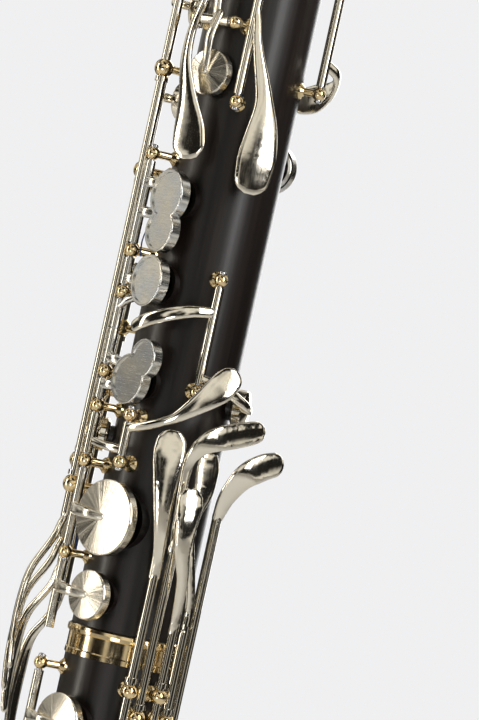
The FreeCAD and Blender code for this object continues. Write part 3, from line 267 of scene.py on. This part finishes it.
def felt(c):
    made = Shader("pad_felt_and_skin", c.felt, roughness=0.85)
    fluff = made.noise(made.place, 2600.0, 5.0, 0.7)
    made.link(made.mixed(made.remap(fluff, 0.0, 1.0), c.felt, tuple(v * 0.45 for v in c.felt)), "Base Color")
    made.main.inputs["Sheen Weight"].default_value = 0.5
    made.main.inputs["Sheen Roughness"].default_value = 0.4
    made.bump((fluff, 0.6, 0.0003),)
    return made.material


def cane(c):
    made = Shader("reed_cane", c.cane, roughness=0.45)
    fibres = made.noise(made.stretched((1900, 60, 60)), 1.0, 3.0)
    made.link(made.mixed(made.remap(fibres, 0.0, 1.0), c.cane, tuple(v * 0.62 for v in c.cane)), "Base Color")
    made.bump((fibres, 0.25, 0.00015),)
    return made.material


def give(node, material):
    slots = frame["nodes"][node].material_slots
    for entry in slots:
        entry.material = material


# ---- mesh helpers ----------------------------------------------------------------------------
SHARP_EDGE = 38         # degrees between faces that look sharp


def keep_mesh(name, mesh_maker, material, body="root"):
    """A new piece from a bmesh, smooth up to SHARP_EDGE, riding on its body."""
    bm = bmesh.new()
    mesh_maker(bm)
    bmesh.ops.recalc_face_normals(bm, faces=bm.faces)
    mesh = bpy.data.meshes.new(name)
    bm.to_mesh(mesh)
    bm.free()
    for face in mesh.polygons:
        face.use_smooth = True
    mesh.set_sharp_from_angle(angle=math.radians(SHARP_EDGE))
    piece = bpy.data.objects.new(name, mesh)
    bpy.context.scene.collection.objects.link(piece)
    piece.data.materials.append(material)
    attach(piece, body)
    return piece


def pointing(origin, axis, side):
    """A matrix whose z is axis and whose x is near side."""
    z = axis.normalized()
    x = (side - z * side.dot(z)).normalized()
    y = z.cross(x)
    return Matrix((
        (x.x, y.x, z.x, origin.x), (x.y, y.y, z.y, origin.y), (x.z, y.z, z.z, origin.z), (0, 0, 0, 1)))


def slotted_head(bm, where, r, tall):
    """A domed screw head with a slot, its foot at the origin of where."""
    rings = [(0.0, r * 0.96), (0.12 * tall, r), (0.62 * tall, r), (0.86 * tall, r * 0.86), (tall, r * 0.58)]
    steps = 24
    groove = r * 0.17
    rows = []
    for height, radius in rings:
        row = []
        for i in range(steps):
            a = 2 * math.pi * i / steps
            row.append(bm.verts.new(where @ Vector((radius * math.cos(a), radius * math.sin(a), height))))
        rows.append(row)
    for low, high in zip(rows, rows[1:]):
        for i in range(steps):
            bm.faces.new((low[i], low[(i + 1) % steps], high[(i + 1) % steps], high[i]))
    bm.faces.new(rows[0][::-1])
    floor_z = tall * 0.45
    for sign in (1, -1):
        side = [v for v in rows[-1] if sign * (where.inverted() @ v.co).y > groove * 0.4]
        side.sort(key=lambda v: math.atan2((where.inverted() @ v.co).y * sign, (where.inverted() @ v.co).x))
        ends = [where.inverted() @ side[0].co, where.inverted() @ side[-1].co]
        top = [bm.verts.new(where @ Vector((e.x, sign * groove, tall))) for e in ends]
        low = [bm.verts.new(where @ Vector((e.x, sign * groove, floor_z))) for e in ends]
        bm.faces.new(side + [top[1], top[0]])
        bm.faces.new((top[0], top[1], low[1], low[0]))
    floor = [bm.verts.new(where @ Vector((x * r * 0.6, y * groove, floor_z))) for x, y in
             ((-1, -1), (1, -1), (1, 1), (-1, 1))]
    bm.faces.new(floor)


def tube_along(bm, points, radii, sides=10):
    """A closed round tube through points."""
    rows = []
    for i, point in enumerate(points):
        way = (points[min(i + 1, len(points) - 1)] - points[max(i - 1, 0)]).normalized()
        where = pointing(point, way, Vector((0.3, 0.5, 0.81)))
        row = []
        for k in range(sides):
            a = 2 * math.pi * k / sides
            row.append(bm.verts.new(where @ Vector((radii[i] * math.cos(a), radii[i] * math.sin(a), 0))))
        rows.append(row)
    for low, high in zip(rows, rows[1:]):
        for k in range(sides):
            bm.faces.new((low[k], low[(k + 1) % sides], high[(k + 1) % sides], high[k]))
    bm.faces.new(rows[0][::-1])
    bm.faces.new(rows[-1])


# ---- operators -------------------------------------------------------------------------------
def colours(context):
    return context.scene.clarinet_colours


def sizes(context):
    return context.scene.clarinet_sizes


class CLARINET_OT_wood(bpy.types.Operator):
    """Gives the two wooden joints their oiled grain"""
    bl_idname = "clarinet.wood"
    bl_label = "Wooden joints"

    def execute(self, context):
        material = grenadilla(colours(context))
        for node in ("upper_joint", "lower_joint"):
            give(node, material)
        return {"FINISHED"}


FINGER_PLATES = ("lh1_plate_key", "lh2_plate_key", "lh3_plate_key", "rh1_plate_key", "rh2_plate_key",
                 "rh3_plate_key", "thumb_key")
WARM = ("posts_upper", "posts_lower", "neck_vent_posts", "ligature", "joint_rings")
STEEL = ("hinge_rods_upper", "hinge_rods_lower", "peg_rod", "peg_thumb_screw", "ligature_screws")


class CLARINET_OT_keywork(bpy.types.Operator):
    """Plates the keys, posts, rings, neck and bell"""
    bl_idname = "clarinet.keywork"
    bl_label = "Keywork and metal"

    def execute(self, context):
        c, s = colours(context), sizes(context)
        silver = plate("silver_plate", c.silver, s.roughness)
        warm = plate("warm_plate", c.warm_plate, s.roughness * 1.2, 0.8)
        steel = plate("bare_steel", c.steel, 0.2)
        for node in frame["nodes"]:
            give(node, silver)
        for node in WARM:
            give(node, warm)
        for node in STEEL:
            give(node, steel)
        dish = brushed("brushed_plate_painted_reflection", c.silver)
        for node in FINGER_PLATES:
            give(node, dish)
        for node in CUPS:
            centre, out = cup_middle(node)
            give(node, spun_cup("spun_" + node, c.silver, centre, out))
        return {"FINISHED"}


CUPS = {                # the angle and height of each cup's middle when it is closed
    "lh_resonance_key": (8.0, 0.036), "bridge_key": (8.0, 0.0104), "rh_resonance_key": (5.0, -0.0325),
    "throat_a_lower_key": (8.0, 0.1845), "f_sharp_key": (4.0, -0.214), "a_flat_key": (4.0, -0.248),
    "f_key": (4.0, -0.282), "e_key": (4.0, -0.316), "low_e_flat_key": (4.0, -0.350)}
CUP_BACK = 0.0247       # radius of a closed cup's back


def cup_middle(node):
    """The middle of a cup's back at rest, and which way it faces. An open cup has swung off its seat."""
    angle, height = CUPS[node]
    joint = JOINTS[node]
    closed = spot(angle, CUP_BACK, height)
    hinge = Vector(joint["pos_m"])
    swing = Matrix.Rotation(-math.radians(max(joint["range_deg"])), 3, "Z")
    return hinge + swing @ (closed - hinge), swing @ outward(angle)


class CLARINET_OT_pads(bpy.types.Operator):
    """Covers the pads in felt and skin"""
    bl_idname = "clarinet.pads"
    bl_label = "Pads"

    def execute(self, context):
        material = felt(colours(context))
        for node in frame["nodes"]:
            if node.endswith("_pad"):
                give(node, material)
        return {"FINISHED"}


class CLARINET_OT_fittings(bpy.types.Operator):
    """Finishes the mouthpiece, reed, corks and the peg's foot"""
    bl_idname = "clarinet.fittings"
    bl_label = "Mouthpiece, reed, cork and foot"

    def execute(self, context):
        c = colours(context)
        give("mouthpiece", plain("hard_rubber", c.rubber, 0.14, 420.0, 0.00005))
        give("peg_tip", plain("foot_rubber", c.rubber, 0.62, 900.0, 0.0002))
        give("corks", plain("cork", c.cork, 0.82, 520.0, 0.0006, tint=0.42))
        give("reed", cane(c))
        return {"FINISHED"}


SCREW_TALL = 0.0011     # how far a slotted end stands out
HINGE_ENDS = (          # key whose hinge it is, and the heights of the two ends of its steel
    ("lh1_plate_key", (0.0201, 0.1574)), ("rh1_plate_key", (-0.1429, -0.0131)),
    ("throat_g_sharp_key", (0.1746, 0.2729)), ("sliver_key", (0.0801, 0.1209)),
    ("c_sharp_touch", (0.0527, 0.0721)), ("thumb_key", (0.1445, 0.1775)), ("register_key", (0.1841, 0.3309)))


class CLARINET_OT_screws(bpy.types.Operator):
    """Adds the slotted ends of the hinge rods"""
    bl_idname = "clarinet.screws"
    bl_label = "Rod screws"

    def execute(self, context):
        r = sizes(context).screw_r
        steel = plate("screw_steel", colours(context).steel, 0.16)

        def heads(bm):
            for name, ends in HINGE_ENDS:
                angle, radius = hinge_of(name)
                for height, way in zip(ends, (-1, 1)):
                    where = pointing(spot(angle, radius, height), Vector((0, 0, way)), outward(angle))
                    slotted_head(bm, where, r, SCREW_TALL)

        keep_mesh("rod_screws", heads, steel)
        return {"FINISHED"}


SPRING_STEPS = 8
SPRING_BOW = 0.0006     # how far a spring bends outward
SPRINGS = (             # angle, radius, height at the post and at the free end
    (-25.5, 0.0236, 0.1215, 0.1305), (-25.5, 0.0236, 0.0815, 0.0745),
    (-25.0, 0.0236, 0.0235, 0.0330), (40.5, 0.0210, 0.1780, 0.1960), (60.0, 0.0212, 0.1175, 0.1005))


class CLARINET_OT_springs(bpy.types.Operator):
    """Adds the blued needle springs beside the posts"""
    bl_idname = "clarinet.springs"
    bl_label = "Needle springs"

    def execute(self, context):
        r = sizes(context).spring_r
        blue = plate("blued_steel", colours(context).blue_steel, 0.22)

        def wires(bm):
            for angle, radius, foot, tip in SPRINGS:
                points = []
                for k in range(SPRING_STEPS + 1):
                    bow = SPRING_BOW * math.sin(math.pi * k / SPRING_STEPS)
                    points.append(spot(angle, radius + bow, foot + (tip - foot) * k / SPRING_STEPS))
                tube_along(bm, points, [r * (1 - 0.05 * k) for k in range(SPRING_STEPS + 1)])

        keep_mesh("needle_springs", wires, blue)
        return {"FINISHED"}


CAMERA_ANGLE = 42.0     # degrees from the front towards the player's left
LEAN = 12.4             # degrees that the body leans to the right in the picture
VIEW_TALL = 0.2376      # height of what the picture takes in, at the body's axis
CAMERA_HEIGHT = 0.075   # where the camera stands beside the body, above the joint line
AIM_HEIGHT, AIM_SIDE = 0.0955, 0.0172
SENSOR = 24.0
FLOOR_R = 2.6


def camera(distance):
    side, out = around(CAMERA_ANGLE), outward(CAMERA_ANGLE)
    lean = math.radians(LEAN)
    up = Vector((0, 0, 1)) * math.cos(lean) - side * math.sin(lean)
    axis = Vector((AXIS_X, AXIS_Y, MEET))
    target = axis + side * AIM_SIDE + Vector((0, 0, AIM_HEIGHT))
    stand = axis + side * AIM_SIDE * 0.6 + out * distance + Vector((0, 0, CAMERA_HEIGHT))
    back = (stand - target).normalized()
    up = (up - back * up.dot(back)).normalized()
    right = up.cross(back)
    data = bpy.data.cameras.new("camera")
    data.sensor_fit = "VERTICAL"
    data.sensor_height = SENSOR
    data.lens = SENSOR * distance / VIEW_TALL
    data.clip_start = 0.01
    holder = bpy.data.objects.new("camera", data)
    holder.matrix_world = Matrix(((right.x, up.x, back.x, stand.x), (right.y, up.y, back.y, stand.y),
                                  (right.z, up.z, back.z, stand.z), (0, 0, 0, 1)))
    bpy.context.scene.collection.objects.link(holder)
    bpy.context.scene.camera = holder


def area_light(name, angle, distance, height, size, power, tint=(1, 1, 1), tall=None):
    """A soft box that looks at the keywork."""
    data = bpy.data.lights.new(name, "AREA")
    data.shape = "RECTANGLE"
    data.size, data.size_y = size, tall or size
    data.energy = power
    data.color = tint
    holder = bpy.data.objects.new(name, data)
    where = spot(angle, distance, height)
    aim = Vector((AXIS_X, AXIS_Y, MEET + 0.09))
    holder.matrix_world = pointing(where, where - aim, Vector((0, 0, 1)).cross(outward(angle)))
    bpy.context.scene.collection.objects.link(holder)


class CLARINET_OT_stage(bpy.types.Operator):
    """Sets up the floor, the soft light and the camera"""
    bl_idname = "clarinet.stage"
    bl_label = "Studio"

    def execute(self, context):
        c = colours(context)
        bm = bmesh.new()
        bmesh.ops.create_circle(bm, cap_ends=True, radius=FLOOR_R, segments=96)
        mesh = bpy.data.meshes.new("floor")
        bm.to_mesh(mesh)
        bm.free()
        floor = bpy.data.objects.new("floor", mesh)
        floor.data.materials.append(plain("paper", c.backdrop, 0.9, 60.0, 0.0002, tint=0.97))
        context.scene.collection.objects.link(floor)
        self.world(context, c)
        area_light("key_light", 84, 1.3, 0.65, 0.45, 9, tall=1.3)
        area_light("left_strip", -38, 1.2, 0.15, 0.16, 4.5, (1.0, 0.93, 0.82), tall=1.4)
        area_light("front_low", 24, 1.5, -0.45, 0.4, 2.5)
        area_light("back_rim", 205, 1.4, 0.5, 0.7, 8, tall=1.2)
        camera(sizes(context).distance)
        context.scene.view_settings.view_transform = "Standard"
        return {"FINISHED"}

    def world(self, context, c):
        """A pale room with darker sides, so that polished metal has something to show."""
        world = bpy.data.worlds.new("room")
        world.use_nodes = True
        context.scene.world = world
        tree = world.node_tree
        back = tree.nodes["Background"]
        place = tree.nodes.new("ShaderNodeTexCoord")
        waves = tree.nodes.new("ShaderNodeTexNoise")
        waves.inputs["Scale"].default_value = 2.1
        waves.inputs["Detail"].default_value = 1.0
        ramp = tree.nodes.new("ShaderNodeValToRGB")
        ramp.color_ramp.elements[0].position = 0.47
        ramp.color_ramp.elements[0].color = (0.012, 0.011, 0.010, 1)
        ramp.color_ramp.elements[1].position = 0.60
        ramp.color_ramp.elements[1].color = (0.80, 0.77, 0.70, 1)
        tree.links.new(place.outputs["Generated"], waves.inputs["Vector"])
        tree.links.new(waves.outputs["Fac"], ramp.inputs["Fac"])
        seen = tree.nodes.new("ShaderNodeLightPath")
        mix = tree.nodes.new("ShaderNodeMix")
        mix.data_type = "RGBA"
        tree.links.new(seen.outputs["Is Camera Ray"], mix.inputs[0])
        tree.links.new(ramp.outputs["Color"], mix.inputs[6])
        mix.inputs[7].default_value = (*c.backdrop, 1.0)
        tree.links.new(mix.outputs[2], back.inputs["Color"])


class CLARINET_PT_panel(bpy.types.Panel):
    """Lists the finishing steps"""
    bl_idname = "CLARINET_PT_panel"
    bl_label = "Bass clarinet"
    bl_space_type = "VIEW_3D"
    bl_region_type = "UI"
    bl_category = "Clarinet"

    def draw(self, context):
        for operator in OPERATORS:
            self.layout.operator(operator.bl_idname)
        for group in (colours(context), sizes(context)):
            for name in group.__annotations__:
                self.layout.prop(group, name)


OPERATORS = (CLARINET_OT_stage, CLARINET_OT_keywork, CLARINET_OT_wood, CLARINET_OT_pads, CLARINET_OT_fittings,
             CLARINET_OT_screws, CLARINET_OT_springs)
CLASSES = (ClarinetColours, ClarinetSizes, *OPERATORS, CLARINET_PT_panel)


def register():
    for one in CLASSES:
        bpy.utils.register_class(one)
    bpy.types.Scene.clarinet_colours = bpy.props.PointerProperty(type=ClarinetColours)
    bpy.types.Scene.clarinet_sizes = bpy.props.PointerProperty(type=ClarinetSizes)


def unregister():
    del bpy.types.Scene.clarinet_sizes
    del bpy.types.Scene.clarinet_colours
    for one in reversed(CLASSES):
        bpy.utils.unregister_class(one)


def main():
    register()
    bpy.ops.clarinet.stage()
    bpy.ops.clarinet.keywork()
    bpy.ops.clarinet.wood()
    bpy.ops.clarinet.pads()
    bpy.ops.clarinet.fittings()
    bpy.ops.clarinet.screws()
    bpy.ops.clarinet.springs()


if __name__ == "__main__":
    main()
